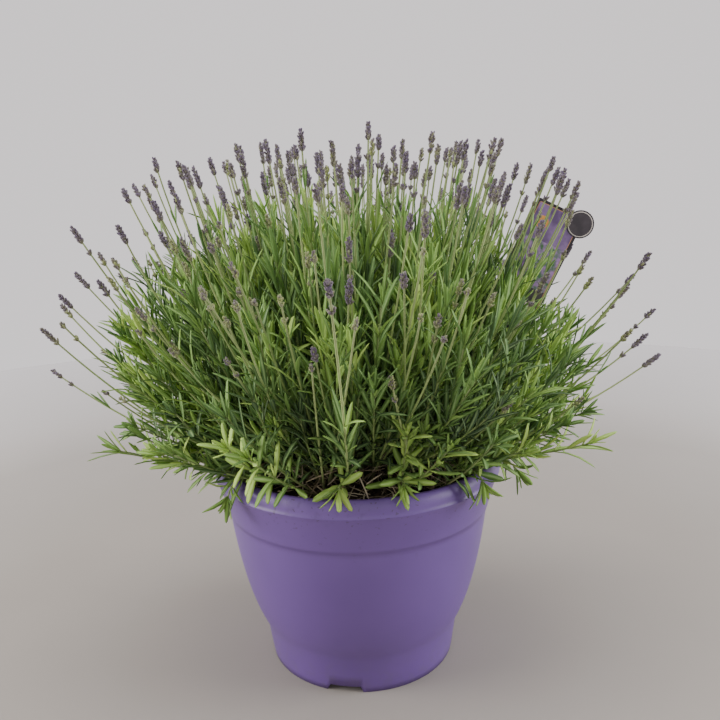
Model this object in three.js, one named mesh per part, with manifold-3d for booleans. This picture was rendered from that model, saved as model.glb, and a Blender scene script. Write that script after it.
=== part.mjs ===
// Potted lavender: nine clumps of leafy, flowering stems in a round plastic pot of soil, with a plant label.
// Millimetres, +Z up. Origin: centre of the pot's foot, on the surface it stands on. The front faces -Y.

import * as THREE from "three";
import { mergeVertices } from "three/addons/utils/BufferGeometryUtils.js";
import Module from "manifold-3d";

const wasm = await Module();
wasm.setup();

// Driving dimensions of the pot
const potHeight = 222;
const lipRadius = 150;
const lipHeight = 207;
const topRadius = 143;
const stepHeight = 168;
const stepRadius = 137;
const stepDepth = 1.4;
const footRadius = 99;
const footSectionRadius = 105;
const footSectionHeight = 40;
const potWall = 3;
const footRecess = 8;
const footThickness = 4.5;
const floorCorner = 4;
const bodyCurve = [[123, 72], [132, 125]];
const underLipCurve = [142, 190];
const overLipCurve = [149, 216];
const potSides = 32;
const footNotch = { count: 3, firstAzimuth: 260, widthBelow: 34, widthAbove: 28, height: 7 };
const drainHole = { count: 4, radius: 8, ringRadius: 62, sides: 8 };

// Driving dimensions of the soil; the gap is what touching pieces keep between them
const gap = 0.35;
const soilEdgeHeight = 208;
const soilMound = 8;
const soilRimCover = 1;

// Driving dimensions of the bush: a dome of leaves and flowers over a base point in the soil
const bushBase = new THREE.Vector3(0, 0, 216);
const bushHalfWidth = 327;
const outerClumps = 8;
const flowerReachUp = 322;
const flowerReachOut = 350;
const flowerReachSpread = 8;
const leafReach = 262;
const leafReachSpread = 34;
const outermost = { offset: 17.5, height: 20 };

// The clumps: their woody feet, their slices of the dome and their cores
const crownRing = 84;
const crownRadius = 8;
const crownDepth = 34;
const crownHead = 14;
const crownSides = 6;
const centreSliceRadius = 42;
const centreSliceSpread = 0.27;
const sliceMargin = 1;
const growthHalfAngle = 21;
const centreGrowthAngle = 23;
const coreReach = 140;
const coreRelief = 12;
const coreLowest = 4;
const coreMargin = 1.3;
const tuftReach = [200, 244];
const outerTufts = { columns: 5, rows: 6 };
const centreTufts = { columns: 16, rows: 3 };

// The stems, leaves and spikes
const stalkRadius = 1.35;
const rootTaper = 3;
const rootDepth = 9;
const leafWidth = 6;
const leafLengths = { shoot: 54, sprig: 36, loose: [56, 70] };
const leafSpreads = { stalk: 22, shoot: 32, sprig: 46 };
const leafPairStops = [0.42, 0.78];
const sprigReach = [14, 30];
const sprigHeights = [168, 186];
const spikes = {
  large: { length: 27, radius: 4.6, whorls: 3 },
  small: { length: 20, radius: 3.8, whorls: 2 },
};

// Driving dimensions of the label
const label = { width: 52, length: 118, neck: 12, thickness: 1.2, stakeWidth: 9, depth: 48, reach: 288 };
const labelPlace = { lean: 26, footX: 86 };
const labelDisc = { radius: 14, sides: 28, fromEdge: 2, fromTop: 7 };

// Corners closer than this are made one
const finestGrid = 0.005;

const degrees = THREE.MathUtils.degToRad;
const up = new THREE.Vector3(0, 0, 1);

// Random draws come from this one seeded sequence, so the bush is the same each time
let randomState = 20417;
function random() {
  randomState = (randomState + 0x6d2b79f5) | 0;
  let mixed = Math.imul(randomState ^ (randomState >>> 15), 1 | randomState);
  mixed = (mixed + Math.imul(mixed ^ (mixed >>> 7), 61 | mixed)) ^ mixed;
  return ((mixed ^ (mixed >>> 14)) >>> 0) / 4294967296;
}

function between(low, high) {
  return low + (high - low) * random();
}

// A geometry's shared corners and the triangles between them, without those that have no area
function sharedCorners(geometry) {
  const bare = geometry.clone();
  bare.deleteAttribute("normal");
  bare.deleteAttribute("uv");
  const merged = mergeVertices(bare, 1e-4);
  const corners = merged.index.array;
  const triVerts = [];
  for (let i = 0; i < corners.length; i += 3) {
    const [a, b, c] = corners.slice(i, i + 3);
    if (a !== b && b !== c && c !== a) triVerts.push(a, b, c);
  }
  return { vertProperties: merged.attributes.position.array, triVerts: new Uint32Array(triVerts) };
}

// A closed geometry as a solid that can be joined and cut
function solidOf(geometry) {
  return new wasm.Manifold(new wasm.Mesh({ numProp: 3, ...sharedCorners(geometry) }));
}

function geometryOf(solid) {
  const mesh = solid.getMesh();
  const geometry = new THREE.BufferGeometry();
  geometry.setAttribute("position", new THREE.BufferAttribute(mesh.vertProperties, 3));
  geometry.setIndex(new THREE.BufferAttribute(mesh.triVerts, 1));
  const faceted = geometry.toNonIndexed();
  faceted.computeVertexNormals();
  return faceted;
}

// True if every edge of the geometry is shared by two triangles and no more
function closesCleanly(geometry) {
  const { triVerts } = sharedCorners(geometry);
  const edges = new Set();
  for (let i = 0; i < triVerts.length; i += 1) {
    const next = i % 3 === 2 ? i - 2 : i + 1;
    edges.add(`${triVerts[i]} ${triVerts[next]}`);
  }
  const paired = [...edges].every((edge) => edges.has(edge.split(" ").reverse().join(" ")));
  return paired && edges.size === triVerts.length;
}

// The solid's geometry with corners that lie closer than a fine grid, left by grazing cuts, made one
function tidied(solid) {
  for (let grid = finestGrid; grid < 16 * finestGrid; grid += finestGrid) {
    const geometry = geometryOf(largestBody(solid));
    const places = geometry.attributes.position.array;
    places.forEach((value, i) => {
      places[i] = Math.round(value / grid) * grid;
    });
    if (closesCleanly(geometry)) return geometry;
  }
  throw new Error("no grid closes this solid cleanly");
}

function joined(solids) {
  if (solids.length === 1) return solids[0];
  const half = Math.ceil(solids.length / 2);
  return joined(solids.slice(0, half)).add(joined(solids.slice(half)));
}

function overlaps(one, other) {
  return !one.intersect(other).isEmpty();
}

// The one largest body: loose scraps go, and so does any hollow that the joins sealed
function largestBody(solid) {
  return solid.decompose().reduce((best, body) => (body.volume() > best.volume() ? body : best));
}

// A closed profile of [radius, height] turned round the Z axis
function turned(profile, sides) {
  const points = profile.map(([radius, height]) => new THREE.Vector2(radius, height));
  return new THREE.LatheGeometry(points, sides).rotateX(Math.PI / 2);
}

// The pot's side, from the foot up to the rim, moved inwards by an inset, as [radius, height] points
function potSide(inset, lowest, bodySteps = 4) {
  const line = new THREE.Path();
  line.moveTo(footRadius, 0);
  line.lineTo(footSectionRadius, footSectionHeight);
  line.bezierCurveTo(...bodyCurve.flat(), stepRadius, stepHeight);
  const body = line.getPoints(bodySteps);
  const rim = new THREE.Path();
  rim.moveTo(stepRadius + stepDepth, stepHeight + stepDepth);
  rim.quadraticCurveTo(...underLipCurve, lipRadius, lipHeight);
  rim.quadraticCurveTo(...overLipCurve, topRadius, potHeight);
  const points = [...body, ...rim.getPoints(2)].map((point) => [point.x - inset, point.y]);
  return points.filter(([, height]) => height > lowest);
}

function potFootNotch(azimuth) {
  const { widthBelow, widthAbove, height } = footNotch;
  const below = 2;
  const outline = new THREE.Shape([
    new THREE.Vector2(-widthBelow / 2, -below),
    new THREE.Vector2(widthBelow / 2, -below),
    new THREE.Vector2(widthAbove / 2, height),
    new THREE.Vector2(-widthAbove / 2, height),
  ]);
  const depth = 24;
  return new THREE.ExtrudeGeometry(outline, { depth, bevelEnabled: false, steps: 1 })
    .rotateX(Math.PI / 2)
    .translate(0, footRadius + depth / 2, 0)
    .rotateZ(degrees(azimuth - 90));
}

function potDrainHole(azimuth) {
  return new THREE.CylinderGeometry(drainHole.radius, drainHole.radius, 4 * footRecess, drainHole.sides)
    .rotateX(Math.PI / 2)
    .translate(drainHole.ringRadius, 0, footRecess)
    .rotateZ(degrees(azimuth));
}

function pot() {
  const inside = potSide(potWall, footRecess + potWall, 2).reverse();
  const profile = [
    [0, footRecess],
    [footRadius - footThickness, footRecess],
    [footRadius - footThickness, 0],
    [footRadius, 0],
    ...potSide(0, 0),
    ...inside,
    [inside.at(-1)[0] - floorCorner, footRecess + potWall],
    [0, footRecess + potWall],
  ];
  const cuts = [];
  for (let i = 0; i < footNotch.count; i += 1) {
    cuts.push(solidOf(potFootNotch(footNotch.firstAzimuth + (i * 360) / footNotch.count)));
  }
  for (let i = 0; i < drainHole.count; i += 1) {
    cuts.push(solidOf(potDrainHole((i * 360) / drainHole.count)));
  }
  return cuts.reduce((body, cut) => body.subtract(cut), solidOf(turned(profile, potSides)));
}

// The soil's mounded top, from the edge to the centre, raised by a clearance
function soilTop(edgeRadius, clearance) {
  const top = [[edgeRadius, 0], [topRadius * 0.6, soilMound * 0.8], [0, soilMound]];
  return top.map(([radius, rise]) => [radius, soilEdgeHeight + rise + clearance]);
}

// The space that the pot and its soil fill, with the gap that the plant keeps round it
function potSpace() {
  const rimInside = topRadius - potWall - gap;
  const profile = [
    [0, 0],
    ...potSide(-gap, -1),
    [topRadius + gap, potHeight + gap],
    [rimInside, potHeight + gap],
    ...soilTop(rimInside, gap),
  ];
  return solidOf(turned(profile, potSides));
}

// Where each clump's woody foot stands: one in the centre and a ring of them round it
function clumpFeet() {
  const feet = [new THREE.Vector3(0, 0, bushBase.z)];
  for (let i = 0; i < outerClumps; i += 1) {
    const azimuth = degrees(((i + 0.5) * 360) / outerClumps);
    feet.push(new THREE.Vector3(crownRing * Math.cos(azimuth), crownRing * Math.sin(azimuth), bushBase.z));
  }
  return feet;
}

// A woody foot from above the soil down into it; the hole for it is the same shape, a gap larger
function woodyFoot(foot, clearance) {
  const head = clearance ? crownDepth : crownHead;
  const profile = [
    [0, -crownDepth - clearance],
    [crownRadius * 0.6 + clearance, -crownDepth - clearance],
    [crownRadius + clearance, 0],
    [crownRadius * (clearance ? 1 : 0.7) + clearance, head],
    [0, head],
  ];
  return turned(profile, crownSides).translate(foot.x, foot.y, foot.z);
}

function soil(feet) {
  const inside = potSide(potWall + gap, footRecess + potWall + gap, 2);
  const below = inside.filter(([, height]) => height < soilEdgeHeight);
  const profile = [
    [0, footRecess + potWall + gap],
    [below[0][0] - floorCorner - potWall, footRecess + potWall + gap],
    ...below,
    ...soilTop(topRadius - soilRimCover, 0),
  ];
  const holes = feet.map((foot) => solidOf(woodyFoot(foot, gap)));
  holes.push(labelSolid(gap));
  return holes.reduce((body, hole) => body.subtract(hole), solidOf(turned(profile, potSides)));
}

// The label: a stake with a plate and a round disc at the plate's upper right, leaning right
function labelSolid(clearance) {
  const top = label.reach;
  const half = label.width / 2 + clearance;
  const stake = label.stakeWidth / 2 + clearance;
  const point = -label.depth - clearance;
  const outline = new THREE.Shape([
    new THREE.Vector2(0, point - stake),
    new THREE.Vector2(stake, point + stake),
    new THREE.Vector2(stake, top - label.length - label.neck),
    new THREE.Vector2(half, top - label.length),
    new THREE.Vector2(half, top),
    new THREE.Vector2(-half, top),
    new THREE.Vector2(-half, top - label.length),
    new THREE.Vector2(-stake, top - label.length - label.neck),
    new THREE.Vector2(-stake, point + stake),
  ]);
  const depth = label.thickness + 2 * clearance;
  const plate = new THREE.ExtrudeGeometry(outline, { depth, bevelEnabled: false, steps: 1 });
  const disc = new THREE.CylinderGeometry(labelDisc.radius, labelDisc.radius, depth, labelDisc.sides)
    .rotateX(Math.PI / 2)
    .translate(label.width / 2 - labelDisc.fromEdge, top - labelDisc.fromTop, depth / 2);
  return solidOf(leaning(plate)).add(solidOf(leaning(disc)));

  function leaning(geometry) {
    return geometry
      .translate(0, 0, -depth / 2)
      .rotateZ(-degrees(labelPlace.lean))
      .rotateX(Math.PI / 2)
      .translate(labelPlace.footX, 0, soilEdgeHeight);
  }
}

// The flat planes that bound one clump's slice; every slice is convex
function slicePlanes(index) {
  const planes = [];
  const centreFace = (azimuth, facing) => {
    const normal = new THREE.Vector3(Math.cos(azimuth), Math.sin(azimuth), -centreSliceSpread);
    const through = new THREE.Vector3(Math.cos(azimuth), Math.sin(azimuth), 0);
    through.multiplyScalar(centreSliceRadius).setZ(bushBase.z);
    normal.normalize().multiplyScalar(facing);
    return new THREE.Plane().setFromNormalAndCoplanarPoint(normal, through);
  };
  const step = degrees(360 / outerClumps);
  if (index === 0) {
    for (let i = 0; i < outerClumps; i += 1) planes.push(centreFace((i + 0.5) * step, -1));
    return planes;
  }
  const [from, to] = [(index - 1) * step, index * step];
  planes.push(new THREE.Plane(new THREE.Vector3(-Math.sin(from), Math.cos(from), 0), 0));
  planes.push(new THREE.Plane(new THREE.Vector3(Math.sin(to), -Math.cos(to), 0), 0));
  planes.push(centreFace(from + step / 2, 1));
  return planes;
}

function liesIn(planes, geometry) {
  const places = geometry.attributes.position;
  const point = new THREE.Vector3();
  for (let i = 0; i < places.count; i += 1) {
    point.fromBufferAttribute(places, i);
    if (planes.some((plane) => plane.distanceToPoint(point) < sliceMargin)) return false;
  }
  return true;
}

// Bends a geometry that is turned round Z, from 0 to its length, along a curve
function bentAlong(curve, geometry, length) {
  const places = geometry.attributes.position;
  const chord = curve.getPoint(1).sub(curve.getPoint(0)).normalize();
  const reference = Math.abs(chord.z) > 0.9 ? new THREE.Vector3(1, 0, 0) : up;
  for (let i = 0; i < places.count; i += 1) {
    const along = THREE.MathUtils.clamp(places.getZ(i) / length, 0, 1);
    const tangent = curve.getTangent(along);
    const side = new THREE.Vector3().crossVectors(tangent, reference).normalize();
    const over = new THREE.Vector3().crossVectors(tangent, side);
    const point = curve.getPoint(along);
    point.addScaledVector(side, places.getX(i)).addScaledVector(over, places.getY(i));
    places.setXYZ(i, point.x, point.y, point.z);
  }
  return geometry;
}

// A direction from the bush's base, by azimuth and height angle in degrees
function direction(azimuth, height) {
  const [a, h] = [degrees(azimuth), degrees(height)];
  return new THREE.Vector3(Math.cos(h) * Math.cos(a), Math.cos(h) * Math.sin(a), Math.sin(h));
}

// A leaf blade: a little cupped above and keeled below, drooping to its tip and rooted inside its stem
function leafBlade(root, heading, length, width) {
  const [widestShare, archShare, droopShare] = [0.36, 0.03, 0.05];
  const [keelDepth, cup] = [width * 0.34, 0.4];
  const side = new THREE.Vector3().crossVectors(heading, up);
  if (side.lengthSq() < 0.04) side.set(1, 0, 0);
  side.normalize();
  const over = new THREE.Vector3().crossVectors(side, heading).normalize();
  const widest = root.clone().addScaledVector(heading, length * widestShare);
  widest.addScaledVector(over, length * archShare);
  const keel = widest.clone().addScaledVector(over, -keelDepth);
  const left = widest.clone().addScaledVector(side, -width / 2).addScaledVector(over, cup);
  const right = widest.clone().addScaledVector(side, width / 2).addScaledVector(over, cup);
  const tip = root.clone().addScaledVector(heading, length).addScaledVector(over, -length * droopShare);
  const faces = [
    [root, right, left], [tip, left, right],
    [root, left, keel], [tip, keel, left],
    [root, keel, right], [tip, right, keel],
  ];
  return new THREE.BufferGeometry().setFromPoints(faces.flat());
}

// A stem and, at its top, a spike of buds in whorls; each ring is turned against the last
function flowerStem(curve, spike) {
  const length = curve.getLength();
  const from = length - spike.length;
  const [swellAt, waistAt] = [0.35, 0.95];
  const [topSwell, waist, stalkTop] = [spike.radius * 0.8, spike.radius * 0.6, stalkRadius * 0.85];
  const part = spike.length / (spike.whorls + swellAt);
  const rings = [[stalkRadius, rootTaper], [stalkTop, from]];
  for (let i = 0; i < spike.whorls; i += 1) {
    const last = i === spike.whorls - 1;
    rings.push([last ? topSwell : spike.radius, from + (i + swellAt) * part]);
    if (!last) rings.push([waist, from + (i + waistAt) * part]);
  }
  const profile = [[0, 0], ...rings, [0, length]];
  const sides = 3;
  const geometry = turned(profile, sides);
  const places = geometry.attributes.position;
  const point = new THREE.Vector3();
  for (let i = 0; i < places.count; i += 1) {
    const ring = Math.max(0, (i % profile.length) - 2);
    point.fromBufferAttribute(places, i).applyAxisAngle(up, (ring * Math.PI) / sides);
    places.setXYZ(i, point.x, point.y, point.z);
  }
  return bentAlong(curve, geometry, length);
}

// Where a clump's slice lies round the pot, in degrees
function clumpAzimuth(index) {
  return index === 0 ? 0 : ((index - 0.5) * 360) / outerClumps;
}

// The height angle at which a direction meets the centre slice's slanted face, at a reach from the base
function centreFaceHeight(azimuthOffset, reach, distance) {
  const across = Math.cos(degrees(azimuthOffset));
  const slant = Math.hypot(across, centreSliceSpread);
  const turn = Math.atan2(centreSliceSpread, across);
  return THREE.MathUtils.radToDeg(Math.acos(distance / (reach * slant)) - turn);
}

// A place in an outer clump's slice, by shares across and up the slice and the reach from the bush's base
function outerPlace(index, across, rise, reach) {
  const clear = centreSliceRadius + coreMargin;
  const nearHeight = coreLowest + rise * (centreFaceHeight(0, reach, clear) - coreLowest);
  const edgeAngle = THREE.MathUtils.radToDeg(Math.asin(coreMargin / (reach * Math.cos(degrees(nearHeight)))));
  const offset = (across * 2 - 1) * (180 / outerClumps - edgeAngle);
  const height = coreLowest + rise * (centreFaceHeight(offset, reach, clear) - coreLowest);
  return direction(clumpAzimuth(index) + offset, height).multiplyScalar(reach).add(bushBase);
}

// The same for the centre, which is a whole turn across
function centrePlace(across, rise, reach) {
  const step = 360 / outerClumps;
  const azimuth = across * 360;
  const lowest = centreFaceHeight((azimuth % step) - step / 2, reach, centreSliceRadius - coreMargin);
  return direction(azimuth, lowest + rise * (90 - lowest)).multiplyScalar(reach).add(bushBase);
}

// A clump's core, deep in the bush: a crumpled patch of the dome that narrows down to the clump's foot,
// with a pointed tuft of leafage on each of its cells
function clumpCore(index, foot) {
  const { columns, rows } = index === 0 ? centreTufts : outerTufts;
  const place = index === 0 ? centrePlace : (...shares) => outerPlace(index, ...shares);
  const corner = (column, row) => {
    const odd = (column + row + index) % 2;
    const reach = row === rows && index === 0 ? coreReach : coreReach + (odd ? coreRelief : -coreRelief);
    return place(column / columns, row / rows, reach);
  };
  const faces = [];
  for (let column = 0; column < columns; column += 1) {
    for (let row = 0; row < rows; row += 1) {
      const cell = [
        corner(column, row),
        corner(column + 1, row),
        corner(column + 1, row + 1),
        corner(column, row + 1),
      ];
      const tip = place(
        (column + between(0.3, 0.7)) / columns,
        (row + between(0.3, 0.7)) / rows,
        between(...tuftReach),
      );
      cell.forEach((point, i) => faces.push([point, cell[(i + 1) % 4], tip]));
    }
    faces.push([corner(column + 1, 0), corner(column, 0), foot]);
    if (index > 0) faces.push([corner(column, rows), corner(column + 1, rows), foot]);
  }
  for (let row = 0; row < rows && index > 0; row += 1) {
    faces.push([corner(0, row), corner(0, row + 1), foot]);
    faces.push([corner(columns, row + 1), corner(columns, row), foot]);
  }
  return new THREE.BufferGeometry().setFromPoints(faces.flat());
}

// A direction in which a clump's slice holds leaves and flowers
function growthDirection(index, lowest, highest) {
  if (index === 0) return direction(between(0, 360), 90 - centreGrowthAngle * Math.sqrt(random()));
  const offset = between(-growthHalfAngle, growthHalfAngle);
  return direction(clumpAzimuth(index) + offset, between(lowest, highest));
}

function clump(index, foot, keepOut) {
  const planes = slicePlanes(index);
  const core = clumpCore(index, foot.clone().addScaledVector(up, crownHead * 0.6));
  const solids = [solidOf(woodyFoot(foot, 0)), solidOf(core)];
  const surface = new THREE.Mesh(core, new THREE.MeshBasicMaterial({ side: THREE.DoubleSide }));

  const centre = { flowers: 22, shoots: 5, leaves: 0, sprigs: 0 };
  const outer = { flowers: 12, shoots: 5, leaves: 2, sprigs: 1 };
  const counts = index === 0 ? centre : outer;
  const farthest = direction(clumpAzimuth(index) - outermost.offset, outermost.height);
  if (index % 2) addFlower(farthest, bushHalfWidth);
  for (let i = 0; i < counts.flowers; i += 1) {
    const low = i < 0.4 * counts.flowers;
    attempt(() => addFlower(growthDirection(index, low ? 10 : 36, low ? 38 : 68), bushHalfWidth - 3));
  }
  for (let i = 0; i < counts.shoots; i += 1) {
    const height = 8 + (56 * i) / counts.shoots;
    attempt(() => addShoot(growthDirection(index, height, height + 12)));
  }
  for (let i = 0; i < counts.leaves; i += 1) attempt(() => addLeaf(growthDirection(index, 6, 60)));
  for (let i = 0; i < counts.sprigs; i += 1) attempt(addSprig);
  return tidied(joined(solids));

  // True if the piece lies in the clump's slice and clear of the pot, and so was kept
  function keep(geometry) {
    if (!liesIn(planes, geometry)) return false;
    const solid = solidOf(geometry);
    if (overlaps(solid, keepOut)) return false;
    solids.push(solid);
    return true;
  }

  // A piece that would cross another clump or the pot is bent another way, up to a few times
  function attempt(make) {
    for (let tries = 0; tries < 12; tries += 1) if (make()) return;
  }

  // The point where a direction from the bush's base leaves the core, sunk in by a depth
  function surfacePoint(towards, depth) {
    const hits = new THREE.Raycaster(bushBase, towards).intersectObject(surface);
    if (hits.length < 2) return null;
    return bushBase.clone().addScaledVector(towards, hits.at(-1).distance - depth);
  }

  function addFlower(towards, halfWidth) {
    const level = Math.hypot(towards.x, towards.y);
    const reach = THREE.MathUtils.lerp(flowerReachUp, flowerReachOut, level * level);
    const bounded = Math.min(reach + between(-1, 1) * flowerReachSpread, halfWidth / level);
    const end = towards.clone().multiplyScalar(bounded).add(bushBase);
    const root = surfacePoint(towards, rootDepth);
    if (!root) return false;
    const curve = new THREE.LineCurve3(root, end);
    const spike = random() < 0.6 ? spikes.large : spikes.small;
    if (!keep(flowerStem(curve, spike))) return false;
    const leafy = random() < 0.45;
    if (leafy) addBlade(curve, between(0.1, 0.45), leafLengths.shoot, leafSpreads.stalk, between(0, 360));
    return true;
  }

  // A leafy shoot without a flower, with leaves up to its tip
  function addShoot(towards) {
    const end = towards.clone().multiplyScalar(leafReach - between(0, 1) * leafReachSpread).add(bushBase);
    end.z += between(4, 22);
    const root = surfacePoint(towards, rootDepth);
    return root && addLeafyStem(new THREE.LineCurve3(root, end), leafLengths.shoot, leafSpreads.shoot);
  }

  // A leaf on the core's surface, leaning away from straight out
  function addLeaf(towards) {
    const lean = new THREE.Vector3(between(-1, 1), between(-1, 1), between(-0.4, 1)).multiplyScalar(0.55);
    const heading = towards.clone().add(lean).normalize();
    const root = surfacePoint(towards, rootDepth);
    return root && keep(leafBlade(root, heading, between(...leafLengths.loose), leafWidth));
  }

  // A short leafy shoot that hangs over the pot's rim
  function addSprig() {
    const azimuth = clumpAzimuth(index) + between(-12, 12);
    const from = surfacePoint(direction(azimuth, coreLowest + 4), rootDepth);
    if (!from) return false;
    const end = direction(azimuth, 0).multiplyScalar(lipRadius + between(...sprigReach));
    end.z = between(...sprigHeights);
    const curve = new THREE.QuadraticBezierCurve3(from, new THREE.Vector3(end.x, end.y, from.z), end);
    return addLeafyStem(curve, leafLengths.sprig, leafSpreads.sprig);
  }

  // A leafy stem has its leaves in opposite pairs, each pair turned a quarter against the last
  function addLeafyStem(curve, leafLength, spread) {
    const length = curve.getLength();
    const stops = leafPairStops.map((along) => [stalkRadius, length * along]);
    const stem = turned([[0, 0], [stalkRadius, rootTaper], ...stops, [0, length]], 3);
    if (!keep(bentAlong(curve, stem, length))) return false;
    const turn = between(0, 360);
    leafPairStops.forEach((along, pair) => {
      [0, 180].forEach((side) => addBlade(curve, along, leafLength, spread, turn + 90 * pair + side));
    });
    return true;
  }

  // A leaf on a stem, turned round it; one that would cross another clump or the pot is turned further
  function addBlade(curve, along, length, spread, turn) {
    for (let step = 0; step < 5; step += 1) {
      const tangent = curve.getTangent(along);
      const side = new THREE.Vector3().crossVectors(tangent, new THREE.Vector3(1, 0.3, 0.2)).normalize();
      side.applyAxisAngle(tangent, degrees(turn + 35 * step));
      const angle = degrees(spread * between(0.8, 1.2));
      const heading = tangent.clone().multiplyScalar(Math.cos(angle)).addScaledVector(side, Math.sin(angle));
      const root = curve.getPoint(along).addScaledVector(side, -stalkRadius * 0.2);
      if (keep(leafBlade(root, heading, length * between(0.85, 1.15), leafWidth))) return;
    }
  }
}

const colours = {
  pot: new THREE.MeshStandardMaterial({ color: 0x7f66b4, roughness: 0.6, metalness: 0 }),
  soil: new THREE.MeshStandardMaterial({ color: 0x2b2320, roughness: 1, metalness: 0 }),
  lavender: new THREE.MeshStandardMaterial({ color: 0x5f7f45, roughness: 0.75, metalness: 0 }),
  label: new THREE.MeshStandardMaterial({ color: 0x54406e, roughness: 0.35, metalness: 0 }),
};

function subPart(name, geometry, material) {
  const mesh = new THREE.Mesh(geometry, material);
  mesh.name = name;
  return mesh;
}

const feet = clumpFeet();
const keepOut = potSpace();
const pottedLavender = new THREE.Group();
pottedLavender.add(subPart("pot", geometryOf(pot()), colours.pot));
pottedLavender.add(subPart("potting_soil", geometryOf(soil(feet)), colours.soil));
feet.forEach((foot, index) => {
  const name = index === 0 ? "lavender_centre" : `lavender_clump_${index}`;
  pottedLavender.add(subPart(name, clump(index, foot, keepOut), colours.lavender));
});
pottedLavender.add(subPart("plant_label", geometryOf(labelSolid(0)), colours.label));

export default pottedLavender;
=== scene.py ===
"""Looks for the potted lavender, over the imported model, in metres, +Z up, with the front towards -Y."""

from math import asin, atan2, cos, degrees, hypot, pi, radians, sin, sqrt

import bpy
import numpy as np
from mathutils import Matrix, Vector


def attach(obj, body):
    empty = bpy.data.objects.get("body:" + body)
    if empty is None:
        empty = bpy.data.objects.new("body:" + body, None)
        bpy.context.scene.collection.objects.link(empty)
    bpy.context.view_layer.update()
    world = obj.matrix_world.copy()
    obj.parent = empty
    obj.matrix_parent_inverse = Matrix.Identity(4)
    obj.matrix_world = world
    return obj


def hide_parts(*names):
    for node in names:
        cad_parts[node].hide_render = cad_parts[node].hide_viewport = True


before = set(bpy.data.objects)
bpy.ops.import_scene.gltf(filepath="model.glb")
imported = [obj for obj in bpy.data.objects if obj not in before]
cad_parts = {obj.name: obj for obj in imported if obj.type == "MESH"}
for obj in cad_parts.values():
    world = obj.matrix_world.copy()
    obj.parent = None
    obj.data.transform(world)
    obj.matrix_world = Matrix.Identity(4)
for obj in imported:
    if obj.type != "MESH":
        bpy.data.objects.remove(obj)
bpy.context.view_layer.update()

# Sizes of the pot, as in the solids
POT_HEIGHT = 0.222
LIP_RADIUS = 0.150
LIP_HEIGHT = 0.207
TOP_RADIUS = 0.143
STEP_HEIGHT = 0.168
STEP_RADIUS = 0.137
STEP_DEPTH = 0.0014
FOOT_RADIUS = 0.099
FOOT_SECTION_RADIUS = 0.105
FOOT_SECTION_HEIGHT = 0.040
FOOT_RECESS = 0.008
FOOT_THICKNESS = 0.0045
BODY_BENDS = ((0.123, 0.072), (0.132, 0.125))
SHOULDER_BEND = (0.1425, 0.189)
RIM_BEND = (0.1488, 0.2175)
POT_WALL = 0.003
POT_SEGMENTS = 168
NOTCH_AZIMUTHS = (260, 20, 140)
NOTCH_WIDTH_BELOW = 0.034
NOTCH_WIDTH_ABOVE = 0.028
NOTCH_HEIGHT = 0.007
DRAIN_HOLES = 4
DRAIN_SEGMENTS = 24
DRAIN_RADIUS = 0.008
DRAIN_RING = 0.062
FLOOR_PLATE_RADIUS = DRAIN_RING + DRAIN_RADIUS + 0.004

# Sizes of the soil and its litter
SOIL_EDGE_HEIGHT = 0.208
SOIL_MOUND = 0.008
SOIL_RINGS = 44
SOIL_SEGMENTS = 160
SOIL_SIDE = ((0.095, 0.0115), (0.101, 0.042), (0.122, 0.11), (0.132, 0.165), (TOP_RADIUS - 0.006, 0.195))
STRAWS = 1000
STRAW_LENGTHS = (0.006, 0.030)
STRAW_PILE = 0.030
STRAW_TAPER = (0.6, 1, 1, 0.9, 0.5)
CRUMBS = 420
CRUMB_SIZES = (0.0012, 0.0042)

# Sizes of the bush; azimuths and height angles are in degrees, and 270 is the front
BUSH_BASE = np.array([0.0, 0.0, 0.216])
BUSH_HALF_WIDTH = 0.328
OUTER_CLUMPS = 8
CENTRE_SLICE_ANGLE = 67
REACH_HEIGHTS = (0, 25, 42, 58, 66, 75, 90)
FLOWER_REACHES = (0.305, 0.338, 0.360, 0.359, 0.353, 0.336, 0.316)
FLOWER_REACH_SPREAD = 0.019
LEAF_REACHES = (0.214, 0.258, 0.268, 0.270, 0.264, 0.258, 0.250)
SIDE_WIDENING = 1.04
LABEL_GAP = (318, 46)
LABEL_GAP_ANGLE = 16
STRAW_GAP_AZIMUTHS = (248, 284)
STRAW_GAP_HEIGHT = 36
STALK_RADIUS = 0.00080
STEM_SIDES = 5
SHOOT_BULGE = 0.11
SHOOT_SAG = 0.05
BARE_STALKS = (0.078, 0.140)
LONG_STALK_REACH = 0.355
WHORL_GAP = 0.0036

# Bands of flowers, as count, lowest and highest angle, and the flowers and sprigs that are listed one by one
FLOWER_BANDS = ((208, 50, 89), (90, 32, 50), (36, 18, 32))
FRONT_FLOWER_LIFT = 18
OUTERMOST_FLOWERS = ((178, 17), (4, 24), (92, 20), (268, 34))
RIM_SPRIGS = 16
OPEN_RIM_AZIMUTHS = (236, 306)
OVERHANGING_SPRIGS = ((264, 0.000, -0.010, 0.28), (286, 0.000, -0.012, 0.12), (222, 0.012, 0.010, 0.05),
                      (315, 0.014, 0.000, 0.10), (334, 0.024, 0.004, 0.0))

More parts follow.
